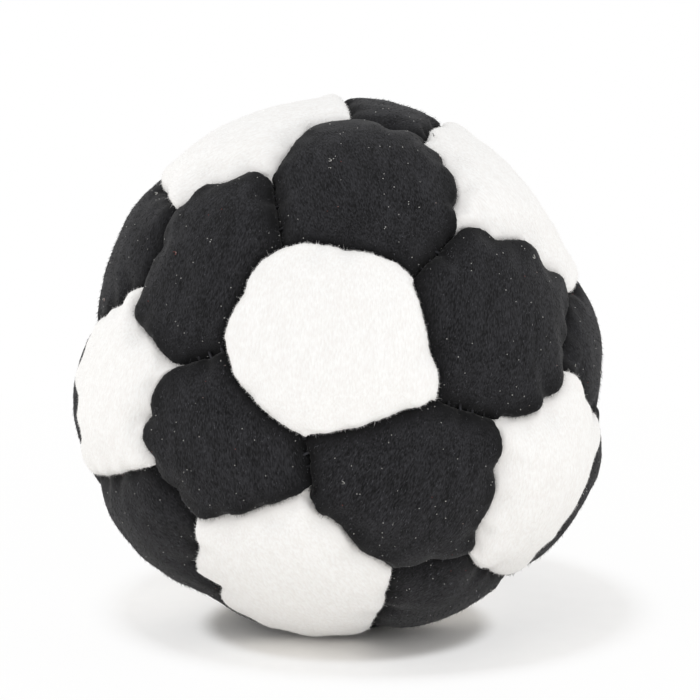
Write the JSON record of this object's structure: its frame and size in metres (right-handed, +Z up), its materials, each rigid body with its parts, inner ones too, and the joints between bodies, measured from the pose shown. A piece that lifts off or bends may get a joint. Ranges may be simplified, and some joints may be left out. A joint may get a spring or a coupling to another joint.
{
  "type": "footbag",
  "caption": "Small sand-filled kicking ball of pentagon and hexagon suede panels sewn edge to edge, settled on its own flat spot.",
  "frame": {"origin": "on the ground, under the middle of the ball's overall width and depth", "axes": "+Z up, +Y towards the back, so the pictured front with its white pentagon faces -Y, and +X to the right as seen from the front"},
  "size_m": [0.0528, 0.0531, 0.0521],
  "materials": {
    "white_suede": "napped synthetic suede, matte",
    "black_suede": "napped synthetic suede, matte",
    "sand": "loose dry sand",
    "black_thread": "waxed nylon thread"
  },
  "bodies": {
    "root": {"pentagon_panel_01": "white_suede", "pentagon_panel_02": "white_suede", "pentagon_panel_03": "white_suede", "pentagon_panel_04": "white_suede", "pentagon_panel_05": "white_suede", "pentagon_panel_06": "white_suede", "pentagon_panel_07": "white_suede", "pentagon_panel_08": "white_suede", "pentagon_panel_09": "white_suede", "pentagon_panel_10": "white_suede", "pentagon_panel_11": "white_suede", "pentagon_panel_12": "white_suede", "hexagon_panel_01": "black_suede", "hexagon_panel_02": "black_suede", "hexagon_panel_03": "black_suede", "hexagon_panel_04": "black_suede", "hexagon_panel_05": "black_suede", "hexagon_panel_06": "black_suede", "hexagon_panel_07": "black_suede", "hexagon_panel_08": "black_suede", "hexagon_panel_09": "black_suede", "hexagon_panel_10": "black_suede", "hexagon_panel_11": "black_suede", "hexagon_panel_12": "black_suede", "hexagon_panel_13": "black_suede", "hexagon_panel_14": "black_suede", "hexagon_panel_15": "black_suede", "hexagon_panel_16": "black_suede", "hexagon_panel_17": "black_suede", "hexagon_panel_18": "black_suede", "hexagon_panel_19": "black_suede", "hexagon_panel_20": "black_suede", "sand_fill": "sand", "seam_thread": "black_thread"}
  },
  "joints": []
}
